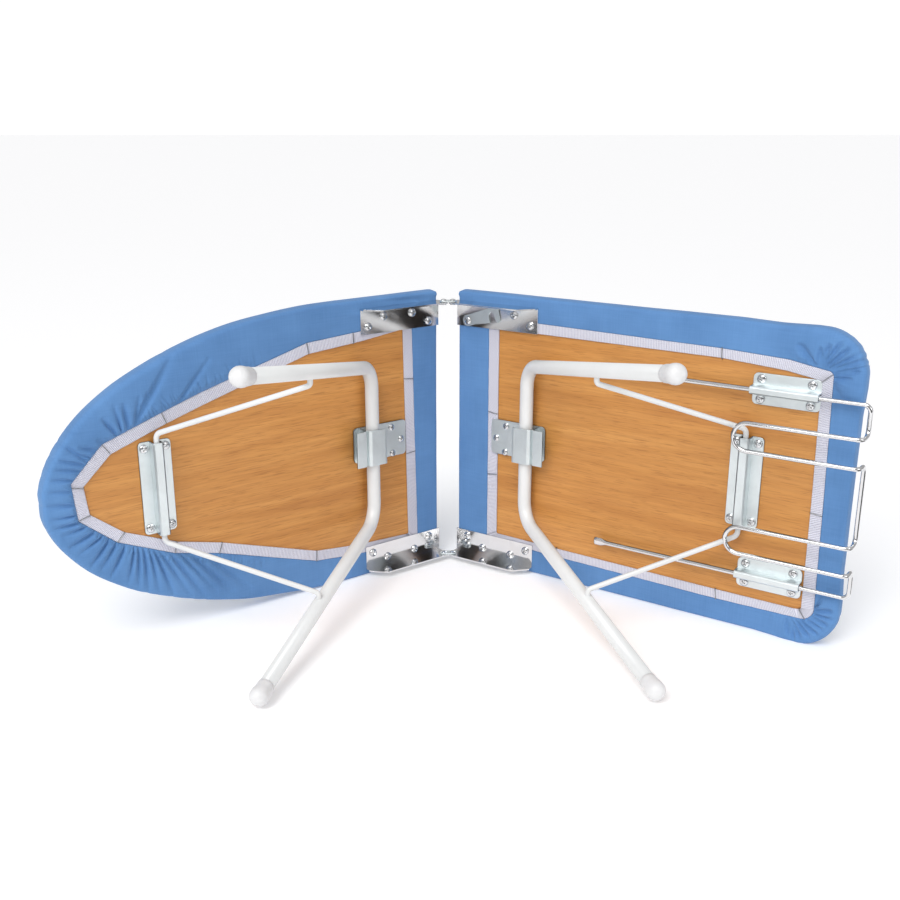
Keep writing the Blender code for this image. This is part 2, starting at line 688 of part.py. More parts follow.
def hinge_link(root, halves, end, mats):
    """Oval plate joining the two pivots, with a rivet through each end."""
    where = "upper" if end > 0 else "lower"
    fold = BRACKET_FOLD_Z
    low = fold + GAP if end > 0 else -fold + STEEL + GAP
    level = -PIVOT_N * math.cos(FOLD) - PIVOT_S * math.sin(FOLD)
    frame = empty("hinge_link_frame_" + where, root, (0.0, level * MM, 0.0))
    centre = Centre(frame)
    outline = arc((PIVOT_S, 0.0), EAR_RADIUS - 0.1, -90.0, 90.0, 6)
    outline += arc((-PIVOT_S, 0.0), EAR_RADIUS - 0.1, 90.0, 270.0, 6)
    plate = prism_z(outline, low, low + LINK_STEEL)
    obj = body("hinge_link_" + where, *plate, centre, mats["zinc"])
    circles = [arc((side * PIVOT_S, 0.0), RIVET_RADIUS + 0.25, 0.0, 330.0, 11) for side in (1, -1)]
    holes = join([prism_z(circle, low - 1.0, low + 3.0) for circle in circles])
    cut(obj, guide("hinge_link_bores_" + where, *holes, centre))

    bracket_low = fold - STEEL if end > 0 else -fold
    top = low + LINK_STEEL + GAP
    bottom = bracket_low - GAP
    profile = [(0.0, top + 1.1), (1.8, top + 1.0), (2.9, top + 0.3), (2.9, top)]
    profile += [(RIVET_RADIUS, top), (RIVET_RADIUS, bottom), (2.9, bottom)]
    profile += [(2.9, bottom - 0.8), (0.0, bottom - 1.0)]
    for half in halves:
        pin = lathe(profile, (half.side * PIVOT_S, 0.0, 0.0), "z", 12)
        body(f"{half.name}_hinge_rivet_{where}", *pin, centre, mats["steel"])


class Centre:
    """Frame midway between the two pivots: s runs along x."""

    def __init__(self, frame):
        self.frame = frame

    def local(self, s, n, z):
        return Vector((s, -n, z)) * MM


# -------------------------------------------------------------------- build
def main():
    for obj in list(bpy.data.objects):
        bpy.data.objects.remove(obj, do_unlink=True)

    mats = {
        "cover": material("blue_cotton", (0.105, 0.245, 0.56), 0.0, 0.85),
        "pad": material("felt_pad", (0.72, 0.71, 0.68), 0.0, 0.95),
        "elastic": material("white_elastic", (0.78, 0.77, 0.86), 0.0, 0.8),
        "wood": material("beech_board", (0.60, 0.29, 0.085), 0.0, 0.55),
        "chrome": material("bright_chrome", (0.78, 0.79, 0.80), 1.0, 0.12),
        "zinc": material("zinc_plate", (0.70, 0.74, 0.78), 1.0, 0.32),
        "steel": material("screw_steel", (0.74, 0.75, 0.76), 1.0, 0.22),
        "paint": material("white_paint", (0.86, 0.86, 0.85), 0.0, 0.38),
        "plastic": material("white_plastic", (0.82, 0.82, 0.83), 0.0, 0.42),
    }
    root = empty("ironing_board", None, (SHIFT_X * MM, SHIFT_Y * MM, HALF_WIDTH * MM))
    tail = Half("tail", 1, root)
    nose = Half("nose", -1, root)
    for half, outlines in ((tail, tail_outlines()), (nose, nose_outlines())):
        bores = screw_bores(half)
        pins = pivot_bores(half)
        build_top(half, outlines, bores, mats)
        for end in (1, -1):
            hinge_bracket(half, end, bores, pins, mats)
        strut_channel(half, mats)
        catch(half, bores, mats)
        leg_and_strut(half, mats)
    for end in (1, -1):
        rest_guide(tail, end, mats)
        hinge_link(root, (tail, nose), end, mats)
    iron_rest(tail, mats)
    hook_latch(tail, mats)
    headed_pin("tail_hook_rivet", tail, mats)
    headed_pin("nose_latch_stud", nose, mats)


main()
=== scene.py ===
"""Looks of a folding table-top ironing board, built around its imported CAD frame.

Each half is laid out in millimetres: s along the board from the hinge, n out of
the underside, z across the board. at() turns that into world metres.
"""
import json
import math

import bmesh
import bpy
import numpy as np
from mathutils import Matrix, Vector

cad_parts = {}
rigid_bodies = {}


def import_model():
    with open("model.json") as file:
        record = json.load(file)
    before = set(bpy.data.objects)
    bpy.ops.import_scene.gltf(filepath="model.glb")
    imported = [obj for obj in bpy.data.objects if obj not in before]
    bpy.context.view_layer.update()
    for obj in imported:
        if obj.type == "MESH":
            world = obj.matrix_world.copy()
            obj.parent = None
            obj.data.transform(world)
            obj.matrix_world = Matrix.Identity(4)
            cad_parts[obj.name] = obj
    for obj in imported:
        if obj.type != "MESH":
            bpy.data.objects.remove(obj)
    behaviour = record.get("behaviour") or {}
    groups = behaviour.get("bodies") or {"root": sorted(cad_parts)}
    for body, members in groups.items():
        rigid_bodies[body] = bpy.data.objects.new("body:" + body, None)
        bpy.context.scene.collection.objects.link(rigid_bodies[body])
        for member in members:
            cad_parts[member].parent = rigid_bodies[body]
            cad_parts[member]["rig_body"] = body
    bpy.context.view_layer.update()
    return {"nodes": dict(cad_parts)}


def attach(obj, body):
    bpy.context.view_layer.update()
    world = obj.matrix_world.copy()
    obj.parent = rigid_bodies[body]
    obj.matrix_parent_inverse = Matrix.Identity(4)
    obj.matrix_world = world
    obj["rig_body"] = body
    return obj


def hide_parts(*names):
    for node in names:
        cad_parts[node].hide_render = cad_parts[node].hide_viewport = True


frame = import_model()
COLLECTION = bpy.context.scene.collection

FOLD = math.radians(35.4)
SHIFT = (2.843, 153.962, 141.0)
PIVOT_S, PIVOT_N = 4.5, 14.5
REACH = PIVOT_S - PIVOT_S * math.cos(FOLD) + PIVOT_N * math.sin(FOLD)
HALF_WIDTH = 141.0
HEM_TOP = -1.7
SIDES = {"tail": 1, "nose": -1}


# ------------------------------------------------------------------ placing
def at(half, points):
    """World metres of points (s, n, z) given in millimetres."""
    side = SIDES[half]
    p = np.asarray(points, float)
    s, n, z = p[..., 0], p[..., 1], p[..., 2]
    x = SHIFT[0] + side * (REACH + math.cos(FOLD) * s - math.sin(FOLD) * n)
    y = SHIFT[1] - math.sin(FOLD) * s - math.cos(FOLD) * n
    return np.stack([x, y, SHIFT[2] + z], -1) / 1000.0


def axes(half):
    """Rotation whose columns are the half's s, z and n directions."""
    side = SIDES[half]
    c, s = math.cos(FOLD), math.sin(FOLD)
    across = Vector((0, 0, 1)) * side
    return Matrix(((side * c, -s, 0), across, (-side * s, -c, 0))).transposed()


def new_object(name, verts, faces, mat, bodyname, smooth=True, uvs=None):
    mesh = bpy.data.meshes.new(name)
    mesh.from_pydata([tuple(v) for v in verts], [], [tuple(f) for f in faces])
    if uvs is not None:
        layer = mesh.uv_layers.new(name="UVMap")
        index = np.empty(len(mesh.loops), int)
        mesh.loops.foreach_get("vertex_index", index)
        layer.data.foreach_set("uv", np.asarray(uvs)[index].ravel())
    return link(name, mesh, mat, bodyname, smooth)


def link(name, mesh, mat, bodyname, smooth=True):
    if smooth:
        mesh.polygons.foreach_set("use_smooth", [True] * len(mesh.polygons))
    obj = bpy.data.objects.new(name, mesh)
    COLLECTION.objects.link(obj)
    mesh.materials.clear()
    mesh.materials.append(mat)
    if bodyname:
        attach(obj, bodyname)
    return obj


def outward(mesh):
    made = bmesh.new()
    made.from_mesh(mesh)
    bmesh.ops.recalc_face_normals(made, faces=made.faces)
    made.to_mesh(mesh)
    made.free()


def baked(obj, name):
    """The mesh of an object with its modifiers applied; the object is removed."""
    graph = bpy.context.evaluated_depsgraph_get()
    mesh = bpy.data.meshes.new_from_object(obj.evaluated_get(graph))
    mesh.name = name
    bpy.data.objects.remove(obj)
    return mesh


# ---------------------------------------------------------------- materials
class Shade:
    """A Principled material with short ways to add procedural detail."""

    def __init__(self, name, colour, metallic=0.0, roughness=0.5, **sockets):
        self.mat = bpy.data.materials.new(name)
        self.mat.use_nodes = True
        self.tree = self.mat.node_tree
        self.bsdf = self.tree.nodes["Principled BSDF"]
        self.bsdf.inputs["Base Color"].default_value = (*colour, 1)
        self.bsdf.inputs["Metallic"].default_value = metallic
        self.bsdf.inputs["Roughness"].default_value = roughness
        for socket, value in sockets.items():
            self.bsdf.inputs[socket.replace("_", " ")].default_value = value
        self.mat.diffuse_color = (*colour, 1)
        self.coords = self.node("ShaderNodeTexCoord")

    def node(self, kind, inputs=(), **settings):
        made = self.tree.nodes.new(kind)
        for key, value in settings.items():
            setattr(made, key, value)
        for key, value in dict(inputs).items():
            if isinstance(value, bpy.types.NodeSocket):
                self.tree.links.new(value, made.inputs[key])
            else:
                made.inputs[key].default_value = value
        return made

    def place(self, space="Object", scale=(1, 1, 1), turn=(0, 0, 0)):
        inputs = {"Vector": self.coords.outputs[space], "Scale": scale, "Rotation": turn}
        return self.node("ShaderNodeMapping", inputs).outputs[0]

    def noise(self, vector, scale, detail=4.0, roughness=0.55, distortion=0.0):
        inputs = {"Vector": vector, "Scale": scale, "Detail": detail}
        inputs.update(Roughness=roughness, Distortion=distortion)
        return self.node("ShaderNodeTexNoise", inputs).outputs["Fac"]

    def wave(self, vector, scale, direction="X", distortion=0.0, detail=0.0):
        inputs = {"Vector": vector, "Scale": scale, "Distortion": distortion, "Detail": detail}
        made = self.node("ShaderNodeTexWave", inputs, bands_direction=direction)
        return made.outputs["Fac"]

    def maths(self, operation, a, b=0.0):
        return self.node("ShaderNodeMath", {0: a, 1: b}, operation=operation).outputs[0]

    def ramp(self, value, stops):
        made = self.node("ShaderNodeValToRGB", {"Fac": value})
        elements = made.color_ramp.elements
        while len(elements) < len(stops):
            elements.new(0.5)
        for element, (place, colour) in zip(elements, stops):
            element.position = place
            element.color = (*colour, 1) if len(colour) == 3 else (colour[0],) * 3 + (1,)
        return made.outputs["Color"]

    def mix(self, factor, a, b, blend="MIX"):
        made = self.node("ShaderNodeMix", data_type="RGBA", blend_type=blend)
        for key, value in ((0, factor), (6, a), (7, b)):
            if isinstance(value, bpy.types.NodeSocket):
                self.tree.links.new(value, made.inputs[key])
            else:
                made.inputs[key].default_value = value
        return made.outputs[2]

    def colour(self, value):
        self.tree.links.new(value, self.bsdf.inputs["Base Color"])

    def rough(self, value, low, high):
        made = self.node("ShaderNodeMapRange", {"Value": value, "To Min": low, "To Max": high})
        self.tree.links.new(made.outputs[0], self.bsdf.inputs["Roughness"])

    def bump(self, *layers):
        normal = None
        for height, strength, distance in layers:
            inputs = {"Height": height, "Strength": strength, "Distance": distance}
            if normal:
                inputs["Normal"] = normal
            normal = self.node("ShaderNodeBump", inputs).outputs[0]
        self.tree.links.new(normal, self.bsdf.inputs["Normal"])


def cotton():
    m = Shade("blue_cotton_weave", (0.10, 0.24, 0.56), roughness=0.82)
    m.bsdf.inputs["Sheen Weight"].default_value = 0.22
    m.bsdf.inputs["Sheen Roughness"].default_value = 0.45
    m.bsdf.inputs["Sheen Tint"].default_value = (0.75, 0.85, 1.0, 1.0)
    m.bsdf.inputs["Specular IOR Level"].default_value = 0.25
    cloth = m.place("UV")
    warp = m.wave(cloth, 0.42, "X", 0.6, 1.0)
    weft = m.wave(cloth, 0.42, "Y", 0.6, 1.0)
    weave = m.maths("MAXIMUM", warp, weft)
    space = m.place()
    broad = m.noise(space, 22.0, 3.0)
    slub = m.noise(m.place("UV", (0.02, 0.9, 1.0)), 1.0, 5.0, 0.65)
    slub_two = m.noise(m.place("UV", (0.9, 0.02, 1.0)), 1.0, 5.0, 0.65)
    base = m.ramp(broad, [(0.3, (0.090, 0.215, 0.450)), (0.7, (0.116, 0.264, 0.530))])
    threads = m.maths("MULTIPLY", m.maths("ADD", slub, slub_two), 0.5)
    base = m.mix(m.ramp(threads, [(0.4, (0.0,)), (0.62, (0.16,))]), base, (0.20, 0.40, 0.74, 1))
    # painted shade: the hollows between the warp and weft threads are painted darker
    base = m.mix(m.ramp(weave, [(0.0, (0.12,)), (0.6, (0.0,))]), base, (0.05, 0.13, 0.36, 1))
    m.colour(base)
    m.rough(threads, 0.74, 0.90)
    creases = m.noise(space, 38.0, 6.0, 0.6, 0.4)
    m.bump((creases, 0.10, 0.002), (threads, 0.25, 0.0003), (weave, 0.35, 0.00025))
    return m.mat


def ribbed_elastic():
    m = Shade("ribbed_elastic_band", (0.72, 0.71, 0.83), roughness=0.75)
    m.bsdf.inputs["Sheen Weight"].default_value = 0.15
    band = m.place("UV")
    ribs = m.wave(band, 0.20, "X", 0.5, 1.0)
    rows = m.wave(band, 0.14, "Y")
    fuzz = m.noise(m.place(), 900.0, 3.0)
    # painted shade: the grooves between the ribs are painted darker than the ribs
    groove_shade = m.ramp(ribs, [(0.0, (0.75,)), (0.55, (0.0,))])
    tone = m.mix(groove_shade, (0.78, 0.78, 0.87, 1), (0.44, 0.44, 0.58, 1))
    tone = m.mix(m.ramp(fuzz, [(0.3, (0.0,)), (0.8, (0.12,))]), tone, (0.88, 0.88, 0.93, 1))
    m.colour(tone)
    m.rough(fuzz, 0.68, 0.85)
    m.bump((rows, 0.4, 0.0003), (ribs, 0.9, 0.0006), (fuzz, 0.15, 0.0002))
    return m.mat


def felt():
    m = Shade("needled_felt", (0.70, 0.69, 0.66), roughness=0.95)
    fibres = m.noise(m.place(scale=(1, 1, 2.5)), 420.0, 6.0, 0.7, 1.2)
    m.colour(m.ramp(fibres, [(0.3, (0.58, 0.57, 0.54)), (0.7, (0.80, 0.79, 0.76))]))
    m.rough(fibres, 0.9, 0.98)
    m.bump((fibres, 0.6, 0.0008))
    return m.mat


def beech(half):
    """Beech foil with its grain running along the half."""
    m = Shade("beech_foil_" + half, (0.6, 0.3, 0.09), roughness=0.48)
    m.bsdf.inputs["Coat Weight"].default_value = 0.12
    m.bsdf.inputs["Coat Roughness"].default_value = 0.35
    turn = (0, 0, SIDES[half] * FOLD)
    long_grain = m.place(scale=(1.8, 1.8, 34.0), turn=turn)
    sway = m.noise(m.place(scale=(3.0, 3.0, 6.0), turn=turn), 2.0, 2.0)
    broad = m.noise(long_grain, 1.6, 5.0, 0.6, 0.9)
    fine = m.noise(m.place(scale=(9.0, 9.0, 240.0), turn=turn), 1.6, 4.0, 0.7, 0.25)
    pores = m.noise(m.place(scale=(22.0, 22.0, 520.0), turn=turn), 2.0, 2.0, 0.6)
    bands = m.maths("ADD", m.maths("MULTIPLY", broad, 0.75), m.maths("MULTIPLY", sway, 0.25))
    stops = [(0.34, (0.52, 0.215, 0.044)), (0.48, (0.61, 0.272, 0.062)), (0.66, (0.69, 0.330, 0.085))]
    base = m.ramp(bands, stops)
    base = m.mix(m.ramp(fine, [(0.42, (0.34,)), (0.60, (0.0,))]), base, (0.42, 0.16, 0.035, 1))
    base = m.mix(m.ramp(pores, [(0.36, (0.50,)), (0.44, (0.0,))]), base, (0.33, 0.115, 0.022, 1))
    m.colour(base)
    m.rough(fine, 0.42, 0.56)
    m.bump((fine, 0.10, 0.0003), (pores, 0.15, 0.0002))
    return m.mat


def metal(name, colour, low, high, scale, marks, bump=0.05):
    """Plated steel: cloudy roughness, fine scratches and handling marks."""
    m = Shade(name, colour, 1.0, (low + high) / 2)
    cloud = m.noise(m.place(), scale, 4.0, 0.6, 0.6)
    scratch = m.noise(m.place(scale=(1.0, 1.0, 16.0), turn=(0.5, 0.3, 0.6)), scale * 2.0, 5.0, 0.7)
    dark = tuple(c * marks for c in colour)
    m.colour(m.ramp(cloud, [(0.32, dark), (0.68, colour)]))
    m.rough(m.maths("MULTIPLY", m.maths("ADD", cloud, scratch), 0.5), low, high)
    m.bump((scratch, bump, 0.0002))
    return m.mat


def powder_coat():
    m = Shade("white_powder_coat", (0.74, 0.75, 0.75), roughness=0.34)
    m.bsdf.inputs["Coat Weight"].default_value = 0.25
    m.bsdf.inputs["Coat Roughness"].default_value = 0.18
    peel = m.noise(m.place(), 620.0, 2.0, 0.5)
    wear = m.noise(m.place(), 14.0, 4.0, 0.6)
    m.colour(m.ramp(wear, [(0.25, (0.70, 0.71, 0.71)), (0.65, (0.77, 0.78, 0.775))]))
    m.rough(wear, 0.40, 0.28)
    m.bump((peel, 0.10, 0.0002))
    return m.mat


def moulded():
    m = Shade("moulded_white_plastic", (0.74, 0.74, 0.75), roughness=0.36)
    m.bsdf.inputs["Subsurface Weight"].default_value = 0.06
    m.bsdf.inputs["Subsurface Radius"].default_value = (0.004, 0.004, 0.004)
    grain = m.noise(m.place(), 500.0, 3.0)
    scuff = m.noise(m.place(), 60.0, 5.0, 0.65)
    m.colour(m.ramp(scuff, [(0.28, (0.66, 0.66, 0.66)), (0.55, (0.75, 0.75, 0.755))]))
    m.rough(scuff, 0.48, 0.32)
    m.bump((grain, 0.12, 0.0002))
    return m.mat


COTTON, ELASTIC, FELT = cotton(), ribbed_elastic(), felt()
WOOD = {half: beech(half) for half in SIDES}
CHROME = metal("mirror_chrome", (0.80, 0.80, 0.805), 0.05, 0.15, 60.0, 0.93)
ZINC = metal("blue_zinc_plate", (0.86, 0.92, 0.93), 0.34, 0.50, 45.0, 0.90, 0.10)
STEEL = metal("bright_screw_steel", (0.80, 0.81, 0.82), 0.14, 0.26, 160.0, 0.85)
STAPLE = metal("staple_wire", (0.42, 0.42, 0.43), 0.3, 0.5, 300.0, 0.7)
PAINT, PLASTIC = powder_coat(), moulded()


# ----------------------------------------------------------------- outlines
def arc(centre, radius, start, end, steps):
    angles = np.radians(np.linspace(start, end, steps + 1))
    return np.stack([centre[0] + radius * np.cos(angles), centre[1] + radius * np.sin(angles)], -1)


def line(a, b, steps):
    return np.linspace(a, b, steps + 1)[:-1]


def smooth_curve(keys, steps):
    """Catmull-Rom through keys, the last one left out."""
    keys = np.asarray(keys, float)
    padded = np.vstack([keys[:1], keys, keys[-1:]])
    t = (np.arange(steps) / steps)[:, None]
    rows = []
    for p0, p1, p2, p3 in zip(padded, padded[1:], padded[2:], padded[3:]):
        linear, square = (p2 - p0) * t, (2 * p0 - 5 * p1 + 4 * p2 - p3) * t**2
        rows.append((2 * p1 + linear + square + (3 * p1 - p0 - 3 * p2 + p3) * t**3) / 2)
    return np.vstack(rows)


def runs(*lines, step=2.5):
    """Polylines with matching corners, sampled together, their last points left out."""
    rows = [[] for _ in lines]
    for k in range(len(lines[0]) - 1):
        count = max(2, int(math.dist(lines[0][k], lines[0][k + 1]) / step))
        for row, keys in zip(rows, lines):
            row.append(line(np.array(keys[k]), np.array(keys[k + 1]), count))
    return [np.vstack(row) for row in rows]


# Corners of each half's cover edge, hem and the elastic's inner edge as (s, z), z measured outwards.
# The nose's own edge is a curve in nose_part(), so its runs hold only the other two.
TAIL_RUNS = {
    "lower": [[(30, 141), (103, 141), (287, 141), (362, 141)],
              [(37, 113), (103, 116.1), (287.5, 119), (366, 118.3)],
              [(49, 106.5), (103, 107.3), (287, 109.6), (362, 110)]],
    "upper": [[(30, 141), (92, 141), (275, 141), (335, 141), (362, 141)],
              [(37, 122), (91.3, 120.4), (275.5, 117.4), (335.2, 114.6), (368, 108.8)],
              [(49, 111), (91.6, 110), (276, 108.6), (334, 104.5), (361.5, 99.8)]],
}
# centre and radius of the hem's corner, then of the elastic's
TAIL_CORNERS = {
    "lower": ((366, 106.3), 12, (364.5, 107.5), 2),
    "upper": ((368, 103.3), 5.5, (361.5, 97.6), 2.2),
}
NOSE_RUNS = {
    "lower": [
        [(27, 118), (102.7, 115.5), (150.7, 110.6), (252.1, 76.7)]
        + [(295.9, 65.6), (346.1, 43), (377.5, 16.2), (379, 0)],
        [(39, 108), (100, 105.5), (149.5, 100), (249.5, 66.5)]
        + [(292, 55.2), (339, 35), (367, 12.5), (368.6, 0)],
    ],
    "upper": [
        [(32, 121), (94.1, 113.5), (151.3, 109.7), (260.5, 78.4)]
        + [(298, 65.9), (351.4, 47.2), (380.4, 17.7), (379, 0)],
        [(43, 110), (93, 103.5), (150, 98.6), (256, 67.2)]
        + [(293, 55.5), (344.5, 37), (370, 13), (368.6, 0)],
    ],
}


def flipped(points):
    return np.asarray(points, float) * np.array([1.0, -1.0])


def tail_part(end):
    outer, hem, inner = [flipped(p) for p in runs(*TAIL_RUNS[end])]
    (centre, radius, core, small) = TAIL_CORNERS[end]
    rows = [[arc((2.9, -138.7), 2.3, 180, 270, 8), outer], [], []]
    first = [arc(tuple(p[0] + np.array([1.2, 1.2])), 1.2, 180, 270, 8) for p in (hem, inner)]
    rows[1], rows[2] = [first[0], hem], [first[1], inner]
    rows[0] += [arc((362, -106), 35, 270, 360, 24), line((397, -60), (397, 0), 16)]
    rows[1] += [arc((centre[0], -centre[1]), radius, 270, 360, 24)]
    rows[2] += [arc((core[0], -core[1]), small, 270, 360, 24)]
    for row, edge in ((rows[1], 376.0), (rows[2], 365.7)):
        start = row[-1][-1]
        row.append(line((start[0], start[1] + 6), (edge, 0), 16))
    return [np.vstack(row) for row in rows]


def nose_part(end):
    keys = [(40, 141), (76, 141), (112, 141), (152, 139.6), (193, 135.2), (230, 129), (270, 117.5)]
    keys += [(303, 104.8), (338, 87.5), (368, 66), (390, 41), (401.5, 18), (405, 0)]
    edge = flipped(np.vstack([smooth_curve(keys, 24), keys[-1:]]))
    edge[:, 1] = np.maximum(edge[:, 1], -HALF_WIDTH)
    hem, inner = [flipped(p) for p in runs(*NOSE_RUNS[end], step=1.8)]
    near = np.linalg.norm(hem[:, None] - edge[None], axis=2).argmin(1)
    near = np.maximum.accumulate(near).astype(float)
    near = np.convolve(np.pad(near, 6, mode="edge"), np.ones(13) / 13, mode="valid")
    outer = np.stack([np.interp(near, np.arange(len(edge)), edge[:, k]) for k in (0, 1)], -1)
    rows = [np.vstack([arc((2.9, -138.7), 2.3, 180, 270, 8), outer])]
    for p in (hem, inner):
        rows.append(np.vstack([arc(tuple(p[0] + np.array([1.2, 1.2])), 1.2, 180, 270, 8), p]))
    return rows


def closed(lower, upper):
    """Whole outline from its two halves, with the hinge edge filled in."""
    upper = flipped(upper[::-1])
    edge = np.linspace(upper[-1], lower[0], 14)[1:-1]
    return np.vstack([lower, upper, edge])


class Outline:
    """Outer, hem and inner curves, all read at one place x along the outer one."""

    def __init__(self, lower, upper, slack):
        self.curves = [closed(a, b) for a, b in zip(lower, upper)]
        outer = self.curves[0]
        ahead = np.roll(outer, -1, 0) - np.roll(outer, 1, 0)
        ahead /= np.maximum(np.linalg.norm(ahead, axis=1, keepdims=True), 1e-9)
        upper_side = np.clip(outer[:, 1] / 50, 0, 1)
        facing_up = np.clip(-ahead[:, 0], 0, 1)
        amount = np.interp(outer[:, 0], *slack) * upper_side * facing_up
        self.curves[0] = outer + np.stack([ahead[:, 1], -ahead[:, 0]], -1) * amount[:, None]
        self.loops = [np.vstack([c, c[:1]]) for c in self.curves]
        steps = np.maximum(np.linalg.norm(np.diff(self.loops[0], axis=0), axis=1), 1e-4)
        self.stations = np.concatenate([[0], np.cumsum(steps)])
        self.length = self.stations[-1]

    def read(self, which, x):
        x = np.mod(x, self.length)
        return np.stack([np.interp(x, self.stations, self.loops[which][:, k]) for k in (0, 1)], -1)

    def normal(self, x):
        """Inward unit normal of the outer curve."""
        ahead = self.read(0, x + 1.2) - self.read(0, x - 1.2)
        ahead /= np.maximum(np.linalg.norm(ahead, axis=1, keepdims=True), 1e-9)
        return np.stack([-ahead[:, 1], ahead[:, 0]], -1)


OUTLINES = {
    "tail": Outline(tail_part("lower"), tail_part("upper"), ([0, 290, 380], [3.4, 3.2, 0.4])),
    "nose": Outline(nose_part("lower"), nose_part("upper"), ([0, 90, 330, 400], [3.4, 2.8, 3.0, 1.0])),
}
# Creases that leave the hem, each as (s, z) points from the hem outwards.
CREASES = {
    "nose": [
        [(323, 57), (311, 79), (288, 110)], [(319, 63), (291, 103)], [(292, 65), (279, 76), (257, 101)],
        [(285, 68), (269, 75)], [(322, 59), (317, 80)], [(328, 56), (330, 76)], [(334, 55), (338, 76)],
        [(338, 53), (348, 67)], [(344, 47), (354, 51)], [(349, 40), (368, 47)], [(360, 37), (380, 45)],
        [(364, 34), (385, 54)], [(370, 33), (392, 41)], [(373, 28), (391, 32)], [(379, 21), (396, 24)],
        [(381, 11), (399, 14)], [(379, -1), (401, 2)], [(378, -10), (397, -10)], [(375, -17), (395, -18)],
        [(371, -22), (389, -25)], [(365, -28), (384, -36)],
        [(358, -33), (377, -43)], [(354, -38), (369, -56)],
        [(348, -43), (361, -61)], [(341, -48), (353, -69)],
        [(333, -52), (339, -77)], [(329, -54), (331, -83)],
        [(324, -56), (323, -89)], [(319, -58), (314, -92)],
        [(314, -61), (302, -98)], [(309, -62), (286, -105)],
        [(300, -65), (274, -108)], [(290, -69), (264, -105)],
        [(281, -71), (249, -109)], [(266, -76), (231, -111)],
    ],
    "tail": [
        [(360, 110), (361, 125)], [(361, 111), (367, 128)],
        [(363, 111), (375, 131)], [(365, 110), (381, 127)],
        [(367, 109), (389, 124)], [(369, 108), (394, 120)],
        [(372, 107), (395, 115)], [(375, 106), (391, 111)],
        [(374, 103), (386, 105)], [(357, 113), (345, 126)],
        [(356, -123), (358, -134)], [(358, -122), (363, -136)],
        [(360, -122), (368, -134)], [(363, -120), (375, -131)], [(367, -119), (381, -127)],
        [(370, -116), (385, -122)], [(373, -113), (388, -117)],
        [(375, -110), (392, -111)], [(377, -107), (391, -104)],
    ],
}


# ------------------------------------------------------------------- covers
CREASE_DEPTH = {"tail": 11.0, "nose": 6.0}


def crease_depth(half, flat):
    """How far the cloth is drawn in at flat points by the creases that leave the hem."""
    depth = np.zeros(len(flat))
    for number, keys in enumerate(CREASES[half]):
        keys = np.array(keys, float)
        for k in range(len(keys) - 1):
            along = keys[k + 1] - keys[k]
            t = np.clip(((flat - keys[k]) @ along) / (along @ along), -0.15, 1.25)
            gap = np.linalg.norm(flat - keys[k] - t[:, None] * along, axis=1)
            run = (k + t) / (len(keys) - 1)
            width = 0.9 + 1.3 * np.clip(run, 0, 1) + 0.25 * math.sin(number * 1.7)
            fade = np.clip(1.25 - run, 0, 1) ** 0.7 * (0.8 + 0.2 * math.sin(number * 2.9))
            depth = np.maximum(depth, fade * np.exp(-((gap / width) ** 1.4)))
    return depth


def ridge(flat_x, travel, start, end, width):
    """A soft ridge along a line in the (x, travel) plane of the cloth."""
    start, end = np.array(start), np.array(end)
    along = end - start
    point = np.stack([flat_x, np.full(len(flat_x), travel)], -1)
    t = np.clip(((point - start) @ along) / (along @ along), 0, 1)
    gap = np.linalg.norm(point - start - t[:, None] * along, axis=1)
    return np.exp(-((gap / width) ** 2)) * np.sin(np.pi * np.clip(t, 0.12, 0.88))


